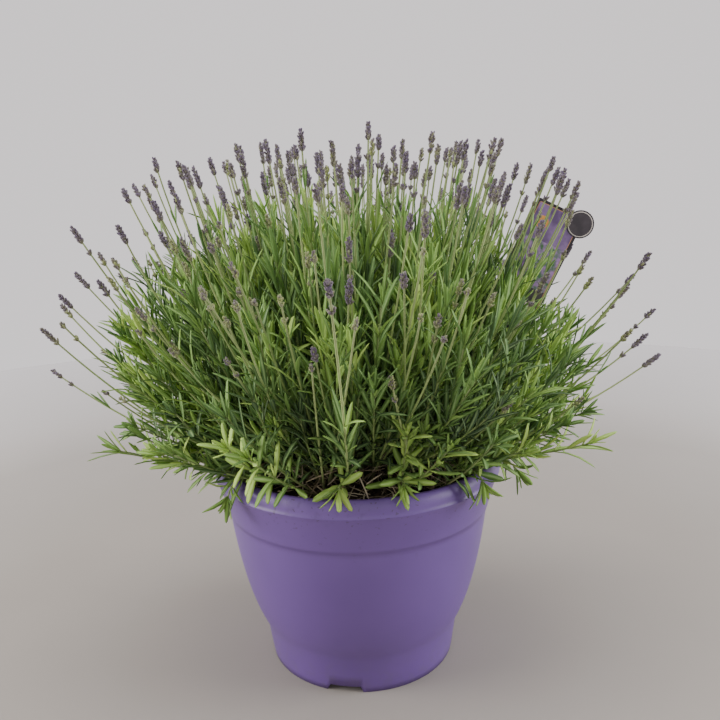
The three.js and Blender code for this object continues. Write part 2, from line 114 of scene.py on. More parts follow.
# Leaf outlines, as places along the leaf and shares of its width; plain ones have fewer rings
BLADES = {
    "long": ((0.0, 0.36), (0.30, 0.84), (0.62, 1.0), (0.90, 0.56)),
    "spoon": ((0.0, 0.26), (0.34, 0.80), (0.66, 1.0), (0.92, 0.60)),
    "plain_long": ((0.0, 0.40), (0.48, 1.0), (0.87, 0.64)),
    "plain_spoon": ((0.0, 0.28), (0.54, 1.0), (0.90, 0.68)),
}
FINE_LEAF_LENGTH = 0.020
FINE_LEAF_DISTANCE = 0.16
LEAF_FOLD = 0.22
LEAF_CREASE = 0.00005
LEAF_KEEL = 0.00055
LEAF_SUNK = 0.0006
RIB_VALUES = (0.0, 1.0, 0.0, 0.75)
LEAF_BEND = (16, 22)
LEAF_TONE_SPREAD = 0.13
CALYX = ((0.28, 0.85), (0.80, 0.90))
CRUMB = ((0.2, 0.8), (0.7, 1.0))
BUD_SIDES = 5

# Kinds of leafage: the gap between pairs; lengths and spreads at a shoot's foot, middle and tip; widths at
# foot and tip; axil leaves for each leaf; and the number, length and width of the young leaves at the tip
FLOWERING = {"spoon": False, "gap": 0.0165, "lengths": (0.028, 0.037, 0.034), "spreads": (30, 18, 13),
             "widths": (0.0047, 0.0038), "axil": 0.5}
LEAFY = {"spoon": False, "gap": 0.0140, "lengths": (0.028, 0.037, 0.032), "spreads": (34, 21, 15),
         "widths": (0.0048, 0.0040), "axil": 0.5, "tip": (6, 0.031, 0.0038)}
ROSETTE = {"spoon": True, "gap": 0.0125, "lengths": (0.020, 0.028, 0.024), "spreads": (68, 54, 42),
           "widths": (0.0056, 0.0054), "axil": 0.5, "tip": (7, 0.024, 0.0050)}
OVER_RIM = {"spoon": True, "gap": 0.0120, "lengths": (0.024, 0.031, 0.029), "spreads": (66, 56, 46),
            "widths": (0.0060, 0.0064), "axil": 0.4, "tip": (7, 0.028, 0.0062)}

# Sizes of the label, whose middle plane is Y = 0, and its prints: two tones, their scale and roughness
LABEL_LEAN = 26
LABEL_FOOT = (0.086, 0.0, 0.208)
LABEL_WIDTH = 0.052
LABEL_LENGTH = 0.118
LABEL_REACH = 0.288
LABEL_THICKNESS = 0.0012
LABEL_STAKE = 0.009
LABEL_DEPTH = 0.048
LABEL_TAPER = 0.012
LABEL_DISC_RADIUS = 0.014
LINE_INSET = 0.0028
BAND_INSET = 0.0036
SKY_HEIGHT = 0.034
FIELD_HEIGHT = 0.046
SUN_PLACE = (-0.012, 0.017)
SUN_RADIUS = 0.0065
SQUARE_STEP = 0.014
SQUARE_SIZE = 0.009
PRINT_LAYER = 0.0001
PRINTS = {
    "border": ((0.018, 0.014, 0.020), (0.030, 0.022, 0.034), 60.0, 0.35),
    "line": ((0.42, 0.20, 0.10), (0.55, 0.30, 0.16), 90.0, 0.3),
    "heather": ((0.12, 0.070, 0.18), (0.27, 0.17, 0.37), 70.0, 0.35),
    "meadow": ((0.055, 0.16, 0.055), (0.40, 0.22, 0.52), 170.0, 0.35),
    "amber": ((0.62, 0.22, 0.05), (0.75, 0.34, 0.08), 90.0, 0.35),
    "dusk": ((0.040, 0.033, 0.040), (0.070, 0.058, 0.068), 60.0, 0.35),
    "pale": ((0.62, 0.56, 0.52), (0.74, 0.68, 0.62), 90.0, 0.35),
}

# Stage, camera and lights; a light has its place, size, power and colour
STAGE_RADIUS = 1.9
STAGE_SEGMENTS = 96
# Painted light on the floor: stops of a share of the stage's radius and how far the floor's colour goes to
# its pale far tone
FLOOR_PAINTED_LIGHT = ((0.25, 0.0), (0.45, 0.10), (0.60, 0.40), (0.98, 1.0))
CAMERA_PLACE = (0.006, -0.734, 0.471)
CAMERA_PITCH = 11.8
CAMERA_ROLL = 1.69
CAMERA_LENS = 36
LIT_POINT = Vector((0, 0, 0.28))
SOFTBOXES = {
    "left_softbox": ((-1.7, -0.30, 0.85), 1.1, 34, (1.0, 0.98, 0.955)),
    "right_softbox": ((1.7, -0.20, 0.85), 1.1, 31.5, (0.975, 0.98, 1.0)),
    "top_softbox": ((0.0, -0.1, 1.9), 1.2, 15, (1.0, 0.99, 0.97)),
    "front_softbox": ((0.1, -1.7, 0.95), 1.2, 3.0, (1.0, 0.99, 0.98)),
}
WALL_TONES = ((0.05, (0.45, 0.435, 0.44)), (0.55, (0.86, 0.83, 0.84)), (1.0, (1.03, 0.98, 0.99)))
WALL_STRENGTH = 1.02

ALONG_X = np.array([1.0, 0.0, 0.0])
UPWARD = np.array([0.0, 0.0, 1.0])
STEEP = 0.9
STEEP_BUD = 0.8

rng = np.random.default_rng(20417)


# Meshes

def unit(vectors):
    length = np.linalg.norm(vectors, axis=-1, keepdims=True)
    return vectors / np.maximum(length, 1e-9)


def square_to(axes, steep):
    """Two directions square to each axis and to each other; steep marks axes that stand nearly upright."""
    side = unit(np.cross(axes, np.where(steep, ALONG_X, UPWARD)))
    return side, np.cross(axes, side)


def direction(azimuth, height):
    """The direction at an azimuth and a height angle in degrees."""
    turn = radians(azimuth)
    rise = radians(height)
    return np.array([cos(rise) * cos(turn), cos(rise) * sin(turn), sin(rise)])


def bezier(start, middle, end, steps):
    """Points along a quadratic curve, both ends among them."""
    t = np.linspace(0, 1, steps)[:, None]
    return (1 - t) ** 2 * np.array(start) + 2 * t * (1 - t) * np.array(middle) + t**2 * np.array(end)


def columns(rows):
    """An array for each place in a list of like rows."""
    return [np.array(column) for column in zip(*rows)]


class Batch:
    """Many small closed shapes collected into one mesh, with three values kept for each point."""

    def __init__(self):
        self.points = []
        self.triangles = []
        self.values = []
        self.count = 0

    def add(self, points, triangles, values):
        self.points.append(points)
        self.triangles.append(triangles + self.count)
        self.values.append(np.broadcast_to(values, points.shape))
        self.count += len(points)

    def add_copies(self, points, triangles, values):
        """Adds (copies, points, 3) of the same shape, with (copies, points, 3) values."""
        copies, size = points.shape[:2]
        offsets = np.arange(copies)[:, None, None] * size
        self.add(points.reshape(-1, 3), (triangles[None] + offsets).reshape(-1, 3), values.reshape(-1, 3))


def mesh_object(name, batch, material):
    points = np.concatenate(batch.points).astype(np.float32)
    triangles = np.concatenate(batch.triangles).astype(np.int32)
    mesh = bpy.data.meshes.new(name)
    mesh.vertices.add(len(points))
    mesh.vertices.foreach_set("co", points.ravel())
    mesh.loops.add(triangles.size)
    mesh.loops.foreach_set("vertex_index", triangles.ravel())
    mesh.polygons.add(len(triangles))
    mesh.polygons.foreach_set("loop_start", np.arange(0, triangles.size, 3, dtype=np.int32))
    mesh.polygons.foreach_set("use_smooth", np.ones(len(triangles), bool))
    mesh.update(calc_edges=True)
    colours = np.ones((len(points), 4), np.float32)
    colours[:, :3] = np.concatenate(batch.values)
    layer = mesh.color_attributes.new("tint", "FLOAT_COLOR", "POINT")
    layer.data.foreach_set("color", colours.ravel())
    return link_object(name, mesh, material)


def link_object(name, mesh, material):
    mesh.materials.append(material)
    piece = bpy.data.objects.new(name, mesh)
    bpy.context.scene.collection.objects.link(piece)
    return piece


def finish_piece(piece, slot, *nodes):
    """Puts a piece on the body, and in place of the solids that it stands for, if any; its slot is not used.
    """
    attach(piece, "root")
    if nodes:
        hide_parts(*nodes)


def ring_triangles(rings, sides):
    """Triangles of a shape with rings of points, closed by a point at its tip and one at its root."""
    faces = []
    for ring in range(rings - 1):
        for side in range(sides):
            a = ring * sides + side
            b = ring * sides + (side + 1) % sides
            faces += [(a, b, b + sides), (a, b + sides, a + sides)]
    last = (rings - 1) * sides
    tip = rings * sides
    for side in range(sides):
        after = (side + 1) % sides
        faces += [(last + side, last + after, tip), (after, side, tip + 1)]
    return np.array(faces)


def wrapped_triangles(rows, places):
    """Triangles of a grid of points that closes on itself both ways."""
    faces = []
    for row in range(rows):
        here = row * places
        there = (row + 1) % rows * places
        for place in range(places):
            beside = (place + 1) % places
            faces.append((here + place, there + place, there + beside))
            faces.append((here + place, there + beside, here + beside))
    return np.array(faces)


def tubes(batch, paths, radii, sides, values):
    """Closed tubes along (copies, steps, 3) paths; radii are (copies, steps), values (copies, steps, 3)."""
    copies, steps = paths.shape[:2]
    tangents = unit(np.gradient(paths, axis=1))
    side_way, over_way = square_to(tangents, np.abs(tangents[:, :1, 2:3]) > STEEP)
    angles = np.linspace(0, 2 * pi, sides, endpoint=False)[:, None]
    turned = np.cos(angles) * side_way[:, :, None] + np.sin(angles) * over_way[:, :, None]
    rings = paths[:, :, None] + radii[:, :, None, None] * turned
    points = np.concatenate([rings.reshape(copies, -1, 3), paths[:, -1:], paths[:, :1]], axis=1)
    all_values = np.concatenate([np.repeat(values, sides, axis=1), values[:, -1:], values[:, :1]], axis=1)
    batch.add_copies(points, ring_triangles(steps, sides), all_values)


def point_values(tints, second, third):
    """The values of one point on every copy of a shape."""
    return np.stack([tints, np.full_like(tints, second), np.full_like(tints, third)], axis=1)


def blades(batch, outline, roots, headings, faces, lengths, widths, bends, tints):
    """Leaf blades, folded above, keeled below and bent back; the values are tint, rib and along."""
    sideways = np.cross(headings, faces)
    lengths = lengths[:, None]
    bends = bends[:, None]
    tints = np.clip(tints, 0, 1)
    rings = []
    values = []
    for along, share in outline:
        centre = roots + lengths * (headings * along - faces * bends * along**2 / 2)
        normal = unit(faces + headings * bends * along)
        half = widths[:, None] * share / 2
        rim = centre + normal * half * LEAF_FOLD
        rings += [rim - sideways * half, centre + normal * LEAF_CREASE]
        rings += [rim + sideways * half, centre - normal * LEAF_KEEL]
        values += [point_values(tints, rib, along) for rib in RIB_VALUES]
    rings += [roots + lengths * (headings - faces * bends / 2), roots - headings * LEAF_SUNK]
    values += [point_values(tints, 0.5, 1.0), point_values(tints, 0.5, 0.0)]
    triangles = ring_triangles(len(outline), len(RIB_VALUES))[:, ::-1]
    batch.add_copies(np.stack(rings, axis=1), triangles, np.stack(values, axis=1))


def buds(batch, profile, roots, axes, lengths, radii, values):
    """Closed buds with (along, radius share) rings; values are (copies, 2), and along is added."""
    side_way, over_way = square_to(axes, np.abs(axes[:, 2:3]) > STEEP_BUD)
    rings = []
    levels = []
    for along, share in profile:
        centre = roots + axes * (lengths * along)[:, None]
        for angle in np.linspace(0, 2 * pi, BUD_SIDES, endpoint=False):
            turned = side_way * cos(angle) + over_way * sin(angle)
            rings.append(centre + turned * (radii * share)[:, None])
            levels.append(along)
    rings += [roots + axes * lengths[:, None], roots]
    levels += [1.0, 0.0]
    kept = np.repeat(values[:, None, :], len(levels), axis=1)
    height = np.broadcast_to(np.array(levels)[None, :, None], (len(roots), len(levels), 1))
    all_values = np.concatenate([kept, height], axis=2)
    batch.add_copies(np.stack(rings, axis=1), ring_triangles(len(profile), BUD_SIDES), all_values)


# Materials

def new_material(name):
    material = bpy.data.materials.new(name)
    material.use_nodes = True
    return material, material.node_tree


def feed(tree, socket, value):
    """Links a node's output to a socket, or sets the socket's own value."""
    if isinstance(value, bpy.types.NodeSocket):
        tree.links.new(value, socket)
    else:
        socket.default_value = value


def add_node(tree, kind, **settings):
    node = tree.nodes.new(f"ShaderNode{kind}")
    for key, value in settings.items():
        if key in node.inputs:
            feed(tree, node.inputs[key], value)
        else:
            setattr(node, key, value)
    return node


def object_place(tree):
    return add_node(tree, "TexCoord").outputs["Object"]


def noise(tree, scale, detail):
    place = object_place(tree)
    return add_node(tree, "TexNoise", Vector=place, Scale=scale, Detail=detail).outputs["Fac"]


def ramp(tree, source, stops):
    """A colour ramp with (place, colour) stops."""
    node = add_node(tree, "ValToRGB", Fac=source)
    elements = node.color_ramp.elements
    while len(elements) < len(stops):
        elements.new(0.5)
    for element, (place, colour) in zip(elements, stops):
        element.position = place
        element.color = (*colour, 1.0)
    return node.outputs["Color"]


def fade(tree, source, start, end, low, high):
    """A grey that goes from low to high between two values of the source."""
    return ramp(tree, source, [(start, (low,) * 3), (end, (high,) * 3)])


def mixed(tree, factor, one, other):
    """One colour over another by a factor; each may be a socket or a colour."""
    node = add_node(tree, "Mix", data_type="RGBA")
    feed(tree, node.inputs[0], factor)
    for socket, colour in ((node.inputs[6], one), (node.inputs[7], other)):
        feed(tree, socket, (*colour, 1.0) if isinstance(colour, tuple) else colour)
    return node.outputs[2]


def maths(tree, operation, one, other, clamp=False):
    node = add_node(tree, "Math", operation=operation, use_clamp=clamp)
    feed(tree, node.inputs[0], one)
    feed(tree, node.inputs[1], other)
    return node.outputs[0]


def drifting(tree, value, source, amount):
    """A value moved up and down by a noise."""
    drift = maths(tree, "MULTIPLY", maths(tree, "SUBTRACT", source, 0.5), amount)
    return maths(tree, "ADD", value, drift)


def rising(tree, height, start, end):
    """0 below a start, rising to 1 at its end."""
    return maths(tree, "DIVIDE", maths(tree, "SUBTRACT", height, start), end - start, clamp=True)


def tint_values(tree):
    """The three values that the meshes keep for each point."""
    layer = add_node(tree, "Attribute", attribute_name="tint")
    return add_node(tree, "SeparateColor", Color=layer.outputs["Color"]).outputs


def finish_material(material, colour, roughness, relief=None, specular=0.5, sheen=0.0):
    """Sets a material's shader; its relief is a height with the bump's strength and distance."""
    tree = material.node_tree
    looks = {"Base Color": colour, "Roughness": roughness}
    looks |= {"Specular IOR Level": specular, "Sheen Weight": sheen}
    if relief:
        height, strength, distance = relief
        bump = add_node(tree, "Bump", Height=height, Strength=strength, Distance=distance)
        looks["Normal"] = bump.outputs["Normal"]
    for name, value in looks.items():
        feed(tree, tree.nodes["Principled BSDF"].inputs[name], value)
    return material


def leaf_material():
    """Leaves, coloured by tint, with a pale rib, a yellower root and a fine felt."""
    material, tree = new_material("lavender_leaf")
    tint, rib, along = tint_values(tree)
    speck = noise(tree, 900.0, 2.0)
    blade = ramp(tree, drifting(tree, tint, noise(tree, 26.0, 4.0), 0.35), [
        (0.00, (0.020, 0.052, 0.018)),
        (0.28, (0.048, 0.116, 0.030)),
        (0.52, (0.108, 0.228, 0.044)),
        (0.76, (0.240, 0.415, 0.068)),
        (1.00, (0.460, 0.650, 0.125)),
    ])
    pale = mixed(tree, 0.5, blade, (0.46, 0.61, 0.26))
    ribbed = mixed(tree, fade(tree, rib, 0.45, 0.95, 0, 0.8), blade, pale)
    rooted = mixed(tree, fade(tree, along, 0.0, 0.25, 0.5, 0), ribbed, (0.20, 0.29, 0.06))
    felt = mixed(tree, fade(tree, speck, 0.45, 0.75, 0, 0.12), rooted, (0.36, 0.44, 0.24))
    return finish_material(material, felt, 0.6, (speck, 0.25, 0.0002), specular=0.25, sheen=0.04)


def stem_material():
    """Stems, coloured by tint, woody at the foot and greyer at the tip."""
    material, tree = new_material("lavender_stem")
    tint, wood, along = tint_values(tree)
    streak = noise(tree, 420.0, 3.0)
    green = ramp(tree, drifting(tree, tint, streak, 0.5), [
        (0.0, (0.090, 0.150, 0.040)),
        (0.5, (0.240, 0.330, 0.105)),
        (1.0, (0.450, 0.535, 0.220)),
    ])
    stalk = mixed(tree, fade(tree, along, 0.70, 0.98, 0, 0.6), green, (0.225, 0.245, 0.130))
    bark = ramp(tree, streak, [(0.3, (0.060, 0.040, 0.026)), (0.7, (0.200, 0.150, 0.095))])
    grown = mixed(tree, wood, stalk, bark)
    return finish_material(material, grown, 0.7, (streak, 0.3, 0.0003), specular=0.3)


def flower_material():
    """Buds, coloured by ripeness, a draw for each bud, and the place along the bud."""
    material, tree = new_material("lavender_bud")
    ripe, draw, along = tint_values(tree)
    speck = noise(tree, 1100.0, 2.0)
    foot = ramp(tree, ripe, [
        (0.0, (0.33, 0.40, 0.10)),
        (0.5, (0.26, 0.26, 0.12)),
        (1.0, (0.190, 0.160, 0.120)),
    ])
    top = ramp(tree, ripe, [
        (0.0, (0.40, 0.46, 0.14)),
        (0.35, (0.25, 0.24, 0.14)),
        (0.6, (0.142, 0.110, 0.120)),
        (1.0, (0.106, 0.072, 0.142)),
    ])
    body = mixed(tree, fade(tree, along, 0.15, 0.75, 0, 1), foot, top)
    lit = mixed(tree, maths(tree, "MULTIPLY", draw, 0.35), body, (0.31, 0.28, 0.31))
    specked = mixed(tree, fade(tree, speck, 0.35, 0.6, 0.45, 0), lit, (0.060, 0.048, 0.060))
    return finish_material(material, specked, 0.8, (speck, 0.4, 0.0003), specular=0.25, sheen=0.2)


def pot_material():
    """Lilac plastic, with dust on the shoulder, dark specks high up and splashes of earth low down."""
    material, tree = new_material("pot_plastic")
    height = add_node(tree, "SeparateXYZ", Vector=object_place(tree)).outputs["Z"]
    cloud = noise(tree, 9.0, 3.0)
    dirt = noise(tree, 120.0, 5.0)
    plastic = ramp(tree, cloud, [(0.3, (0.134, 0.070, 0.272)), (0.7, (0.160, 0.086, 0.314))])
    shoulder = rising(tree, height, 0.196, POT_HEIGHT)
    dust = maths(tree, "MULTIPLY", fade(tree, dirt, 0.56, 0.72, 0, 0.45), shoulder)
    dusty = mixed(tree, dust, plastic, (0.045, 0.032, 0.034))
    upper_side = rising(tree, height, 0.150, POT_HEIGHT)
    specks = maths(tree, "MULTIPLY", fade(tree, noise(tree, 260.0, 2.0), 0.65, 0.70, 0, 0.6), upper_side)
    specked = mixed(tree, specks, dusty, (0.060, 0.042, 0.050))
    low_down = maths(tree, "SUBTRACT", 1.0, rising(tree, height, 0.0, 0.055))
    splash = maths(tree, "MULTIPLY", fade(tree, dirt, 0.48, 0.7, 0, 0.3), low_down)
    splashed = mixed(tree, splash, specked, (0.14, 0.11, 0.15))
    roughness = fade(tree, cloud, 0.3, 0.7, 0.34, 0.46)
    grain = noise(tree, 700.0, 2.0)
    return finish_material(material, splashed, roughness, (grain, 0.08, 0.0003), specular=0.55)


def soil_material():
    material, tree = new_material("potting_soil")
    clods = noise(tree, 180.0, 6.0)
    shade = maths(tree, "ADD", clods, maths(tree, "MULTIPLY", tint_values(tree)[0], 0.35))
    earth = ramp(tree, shade, [
        (0.35, (0.012, 0.009, 0.008)),
        (0.6, (0.040, 0.028, 0.022)),
        (0.9, (0.120, 0.085, 0.060)),
    ])
    return finish_material(material, earth, 0.95, (clods, 0.9, 0.002), specular=0.2)


def straw_material():
    material, tree = new_material("dry_litter")
    fibre = noise(tree, 500.0, 3.0)
    dry = ramp(tree, drifting(tree, tint_values(tree)[0], fibre, 0.6), [
        (0.0, (0.085, 0.055, 0.035)),
        (0.5, (0.340, 0.260, 0.160)),
        (1.0, (0.660, 0.560, 0.410)),
    ])
    return finish_material(material, dry, 0.8, (fibre, 0.4, 0.0004))


def print_material(name, low, high, scale, roughness):
    """A printed plastic face whose colour drifts between two tones."""
    material, tree = new_material(name)
    drift = ramp(tree, noise(tree, scale, 3.0), [(0.38, low), (0.62, high)])
    return finish_material(material, drift, roughness, (noise(tree, 1500.0, 2.0), 0.03, 0.0001))


def floor_material():
    """A floor whose colour goes from a darker tone near the pot to a pale far tone, as painted light that
    makes up for the lamps' light falling off with distance.
    """
    material, tree = new_material("floor")
    distance = add_node(tree, "VectorMath", operation="LENGTH", Vector=object_place(tree))
    near = ramp(tree, noise(tree, 3.0, 3.0), [(0.3, (0.298, 0.270, 0.244)), (0.7, (0.322, 0.292, 0.264))])
    share = maths(tree, "DIVIDE", distance.outputs["Value"], STAGE_RADIUS)
    # Painted light: the floor is lightened with distance from the pot to make up for the lamps' falloff
    painted_light = ramp(tree, share, [(place, (far,) * 3) for place, far in FLOOR_PAINTED_LIGHT])
    return finish_material(material, mixed(tree, painted_light, near, (0.830, 0.805, 0.812)), 0.8)


# Pot

def cubic_points(start, first, second, end, steps):
    """Points of a cubic curve after its start, as (radius, height)."""
    t = np.linspace(0, 1, steps + 1)[1:, None]
    weights = ((1 - t) ** 3, 3 * (1 - t) ** 2 * t, 3 * (1 - t) * t**2, t**3)
    pulls = zip(weights, (start, first, second, end))
    return list(sum(weight * np.array(point) for weight, point in pulls))


def pot_side():
    """The pot's outer side from the foot to the rim, as (radius, height), the same lines as the solid's."""
    foot_top = (FOOT_SECTION_RADIUS, FOOT_SECTION_HEIGHT)
    ledge = (STEP_RADIUS + STEP_DEPTH, STEP_HEIGHT + STEP_DEPTH * 0.6)
    under_lip = (LIP_RADIUS - 0.0008, LIP_HEIGHT - 0.0016)
    over_lip = (LIP_RADIUS - 0.0015, LIP_HEIGHT + 0.0013)
    side = [(FOOT_RADIUS, 0.0), (FOOT_RADIUS + 0.0011, NOTCH_HEIGHT), (FOOT_RADIUS + 0.003, 0.020)]
    side += [(FOOT_SECTION_RADIUS - 0.0006, FOOT_SECTION_HEIGHT - 0.003)]
    side += [*cubic_points(foot_top, *BODY_BENDS, (STEP_RADIUS, STEP_HEIGHT), 22), ledge]
    side += list(bezier(ledge, SHOULDER_BEND, under_lip, 13)[1:])
    side += [(LIP_RADIUS - 0.0001, LIP_HEIGHT - 0.0006), (LIP_RADIUS, LIP_HEIGHT)]
    side += [(LIP_RADIUS - 0.0007, LIP_HEIGHT + 0.0009)]
    side += list(bezier(over_lip, RIM_BEND, (TOP_RADIUS, POT_HEIGHT), 13)[1:])
    return side


def inner_side(side):
    """The inside of the wall, from the rim down to the floor."""
    inside = [(radius - POT_WALL, height) for radius, height in side if height > FOOT_RECESS + 2 * POT_WALL]
    return [(TOP_RADIUS - POT_WALL * 0.6, POT_HEIGHT + 0.0002), *inside[::-1]]


def in_notch(azimuth, height):
    """True where one of the foot's three notches is open."""
    share = height / NOTCH_HEIGHT
    half_width = (NOTCH_WIDTH_BELOW * (1 - share) + NOTCH_WIDTH_ABOVE * share) / 2
    away = min(abs((azimuth - centre + 180) % 360 - 180) for centre in NOTCH_AZIMUTHS)
    return radians(away) * FOOT_RADIUS < half_width


def pot_shell(material):
    """The pot, turned from its side line; its foot ring is raised over the three notches."""
    side = pot_side()
    floor_top = FOOT_RECESS + POT_WALL
    ring_inside = FOOT_RADIUS - FOOT_THICKNESS
    profile = [(FLOOR_PLATE_RADIUS, FOOT_RECESS), (ring_inside, FOOT_RECESS), (ring_inside, 0.0)]
    profile += [*side, *inner_side(side), (FOOT_RADIUS - 0.004, floor_top), (FLOOR_PLATE_RADIUS, floor_top)]
    points = np.zeros((POT_SEGMENTS, len(profile), 3))
    for i, azimuth in enumerate(np.linspace(0, 360, POT_SEGMENTS, endpoint=False)):
        for j, (radius, height) in enumerate(profile):
            if in_notch(azimuth, min(height, NOTCH_HEIGHT)):
                height = max(height, NOTCH_HEIGHT)
            points[i, j] = radius * direction(azimuth, 0) + height * UPWARD
    batch = Batch()
    batch.add(points.reshape(-1, 3), wrapped_triangles(POT_SEGMENTS, len(profile)), np.zeros(3))
    add_pot_floor(batch)
    return mesh_object("pot_shell", batch, material)


def add_pot_floor(batch):
    """The floor plate inside the foot ring, in one part round each of its round drain holes."""
    loops = (("hole", FOOT_RECESS), ("rim", FOOT_RECESS), ("rim", FOOT_RECESS + POT_WALL),
             ("hole", FOOT_RECESS + POT_WALL))
    for number in range(DRAIN_HOLES):
        centre = 2 * pi * number / DRAIN_HOLES
        middle = DRAIN_RING * np.array([cos(centre), sin(centre)])
        lines = {"hole": [], "rim": []}
        for angle in centre + np.linspace(0, 2 * pi, DRAIN_SEGMENTS, endpoint=False):
            ray = np.array([cos(angle), sin(angle)])
            lines["hole"].append(middle + ray * DRAIN_RADIUS)
            lines["rim"].append(plate_edge(middle, ray, centre))
        points = np.array([(*point, height) for line, height in loops for point in lines[line]])
        batch.add(points, wrapped_triangles(len(loops), DRAIN_SEGMENTS), np.zeros(3))


def plate_edge(middle, ray, centre):
    """Where a ray from a drain hole meets the edge of its part of the floor plate."""
    reach = middle @ ray
    distances = [-reach + sqrt(reach**2 - middle @ middle + FLOOR_PLATE_RADIUS**2)]
    for way in (-1, 1):
        edge = centre + way * pi / DRAIN_HOLES
        normal = way * np.array([-sin(edge), cos(edge)])
        closing = normal @ ray
        if closing > 1e-6:
            distances.append(-(normal @ middle) / closing)
    return middle + ray * min(distances)


# Soil and litter

def soil_height(radius):
    share = np.clip(radius / TOP_RADIUS, 0, 1)
    return SOIL_EDGE_HEIGHT + SOIL_MOUND * (1 - share**2)


def soil_bed(material):
    """The soil: a crumbly top, and a side close inside the pot down to its floor."""
    angles = np.linspace(0, 2 * pi, SOIL_SEGMENTS, endpoint=False)
    top_radii = np.linspace(0.004, TOP_RADIUS - 0.0045, SOIL_RINGS)
    radii, turns = np.meshgrid(top_radii, angles, indexing="ij")
    x = radii * np.cos(turns)
    y = radii * np.sin(turns)
    crumbs = rng.normal(0, 1, x.shape)
    lumps = np.sin(x * 260 + np.sin(y * 190)) * np.sin(y * 240 + np.cos(x * 170))
    z = soil_height(radii) + crumbs * 0.0007 + lumps * 0.0013
    top = np.stack([x, y, z], axis=-1)[::-1].reshape(-1, 3)
    wall = np.array([(r * cos(a), r * sin(a), height) for r, height in SOIL_SIDE for a in angles])
    ends = [(0, 0, SOIL_EDGE_HEIGHT + SOIL_MOUND), (0, 0, SOIL_SIDE[0][1])]
    tint = np.concatenate([np.zeros(len(wall)), rng.random(len(top)), [0.5, 0.5]])
    triangles = ring_triangles(len(SOIL_SIDE) + SOIL_RINGS, SOIL_SEGMENTS)
    batch = Batch()
    batch.add(np.concatenate([wall, top, ends]), triangles, tint[:, None])
    return mesh_object("soil_bed", batch, material)


def strewn(count, margin, nearest):
    """Radius and azimuth of random places on the soil, none in the middle and most of them near the rim."""
    radius = (TOP_RADIUS - margin) * np.sqrt(rng.uniform(nearest, 1, count))
    return radius, rng.uniform(0, 2 * pi, count)


def litter(material):
    batch = Batch()
    add_straws(batch)
    add_crumbs(batch)
    return mesh_object("dry_litter", batch, material)


def add_straws(batch):
    """Dry stalks, lightly bent and piled up between the stems' feet."""
    radius, azimuth = strewn(STRAWS, 0.010, 0.30)
    heading = rng.uniform(0, 2 * pi, STRAWS)[:, None]
    length = rng.uniform(*STRAW_LENGTHS, STRAWS)[:, None]
    sway = rng.normal(0, 0.12, STRAWS)[:, None]
    steps = np.linspace(-0.5, 0.5, len(STRAW_TAPER))
    along = length * steps
    aside = sway * length * steps**2 * 4
    x = (radius * np.cos(azimuth))[:, None] + np.cos(heading) * along - np.sin(heading) * aside
    y = (radius * np.sin(azimuth))[:, None] + np.sin(heading) * along + np.cos(heading) * aside
    squeeze = np.minimum(1, (TOP_RADIUS - 0.006) / np.hypot(x, y))
    pile = rng.uniform(0, 1, STRAWS)[:, None] ** 1.4 * STRAW_PILE
    tilt = rng.normal(0, 1, STRAWS)[:, None] * (0.004 + 0.5 * pile)
    z = soil_height(np.hypot(x, y)) + 0.0012 + pile + steps * tilt
    thick = rng.uniform(0.0003, 0.0009, STRAWS)[:, None] * np.array(STRAW_TAPER)
    tint = np.broadcast_to(rng.random((STRAWS, 1, 1)), (STRAWS, len(steps), 3))
    tubes(batch, np.stack([x * squeeze, y * squeeze, z], axis=-1), thick, 3, tint)


def add_crumbs(batch):
    radius, azimuth = strewn(CRUMBS, 0.007, 0.2)
    height = soil_height(radius) - 0.0002
    places = np.stack([radius * np.cos(azimuth), radius * np.sin(azimuth), height], axis=1)
    size = rng.uniform(*CRUMB_SIZES, CRUMBS)
    values = np.stack([rng.uniform(0, 0.5, CRUMBS), rng.random(CRUMBS)], axis=1)
    buds(batch, CRUMB, places, unit(rng.normal(0, 1, (CRUMBS, 3))), size, size * 0.45, values)


# Bush

class Clump:
    """One clump's leaves by outline, its stems and its spikes, gathered before the meshes are made."""

    def __init__(self):
        self.leaves = {kind: [] for kind in BLADES}
        self.stems = []
        self.spikes = []


class Shoot:
    """A stem of a clump on a smooth path, with places along it by length."""

    def __init__(self, clump, path):
        self.clump = clump
        self.path = path
        steps = np.linalg.norm(np.diff(path, axis=0), axis=1)
        self.marks = np.concatenate([[0], np.cumsum(steps)])
        self.length = self.marks[-1]

    def at(self, place):
        return np.array([np.interp(place, self.marks, self.path[:, k]) for k in range(3)])

    def tangent(self, place):
        reach = self.length * 0.04
        return unit(self.at(min(place + reach, self.length)) - self.at(max(place - reach, 0)))

    def across(self, place, turn):
        """A direction square to the stem, turned round it by an angle in radians."""
        tangent = self.tangent(place)
        side, over = square_to(tangent, abs(tangent[2]) > STEEP)
        return side * cos(turn) + over * sin(turn)


def height_angle(towards):
    return degrees(asin(towards[2]))


def azimuth_angle(towards):
    return degrees(atan2(towards[1], towards[0]))


def clump_of(towards):
    """The clump whose slice a direction from the bush's base lies in."""
    if height_angle(towards) > CENTRE_SLICE_ANGLE:
        return clumps[0]
    return clumps[int(azimuth_angle(towards) % 360 // (360 / OUTER_CLUMPS)) + 1]


def blade_kind(root, length, spoon):
    """The outline of a leaf: one that is small or stands deep in the bush has fewer faces."""
    fine = length > FINE_LEAF_LENGTH and np.linalg.norm(root - BUSH_BASE) > FINE_LEAF_DISTANCE
    shape = "spoon" if spoon else "long"
    return shape if fine else f"plain_{shape}"


def misplaced(point):
    """True for a point in the pot's wall, in the soil or out of the bush's box."""
    radius = hypot(point[0], point[1])
    outside = max(abs(point[0]), abs(point[1])) > BUSH_HALF_WIDTH
    in_soil = radius < TOP_RADIUS and point[2] < SOIL_EDGE_HEIGHT
    over_wall = TOP_RADIUS - 0.006 < radius < LIP_RADIUS + 0.003
    in_wall = over_wall and STEP_HEIGHT < point[2] < POT_HEIGHT + 0.001
    return outside or in_soil or in_wall


